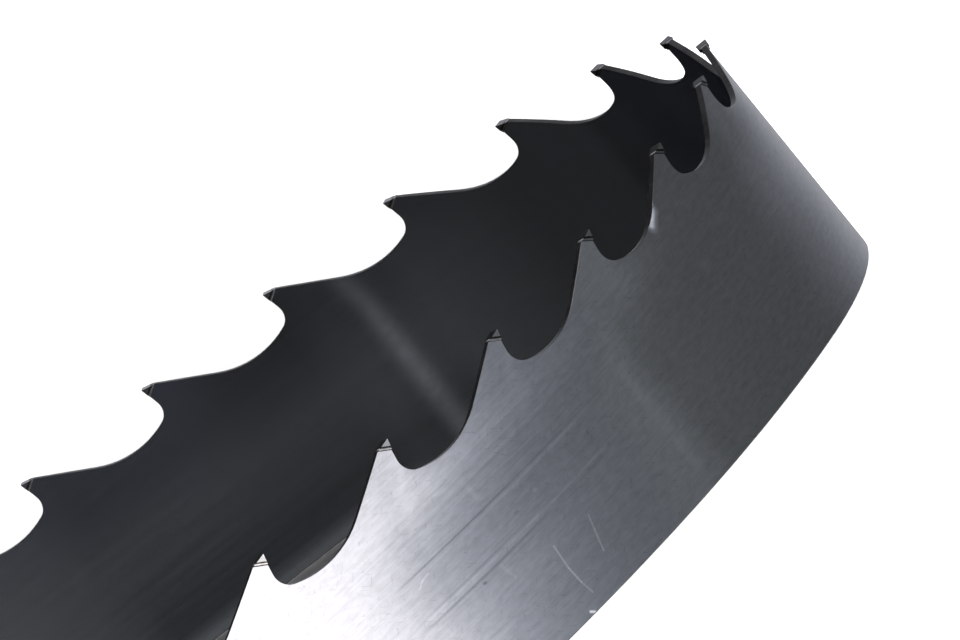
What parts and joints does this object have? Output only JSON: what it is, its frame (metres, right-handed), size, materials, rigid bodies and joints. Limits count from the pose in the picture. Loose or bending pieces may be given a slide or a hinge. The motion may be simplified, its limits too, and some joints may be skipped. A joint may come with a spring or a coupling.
{
  "type": "sawmill band blade",
  "caption": "Endless narrow band saw blade for a sawmill: a steel strip joined into a long oval loop, with hooked teeth, round gullets and flared hard-faced tips.",
  "frame": {"origin": "middle of the loop, on the plane of the back edge that it stands on", "axes": "+X along the loop's straight stretches, +Y across the loop, +Z from the back edge up to the teeth; the teeth cut counter-clockwise seen from above"},
  "size_m": [1.58, 0.255, 0.05],
  "materials": {
    "band_steel": "fine ground spring steel",
    "tip_alloy": "ground hard facing alloy"
  },
  "bodies": {
    "root": {"band_body": "band_steel", "tooth_tips": "tip_alloy"}
  },
  "joints": []
}
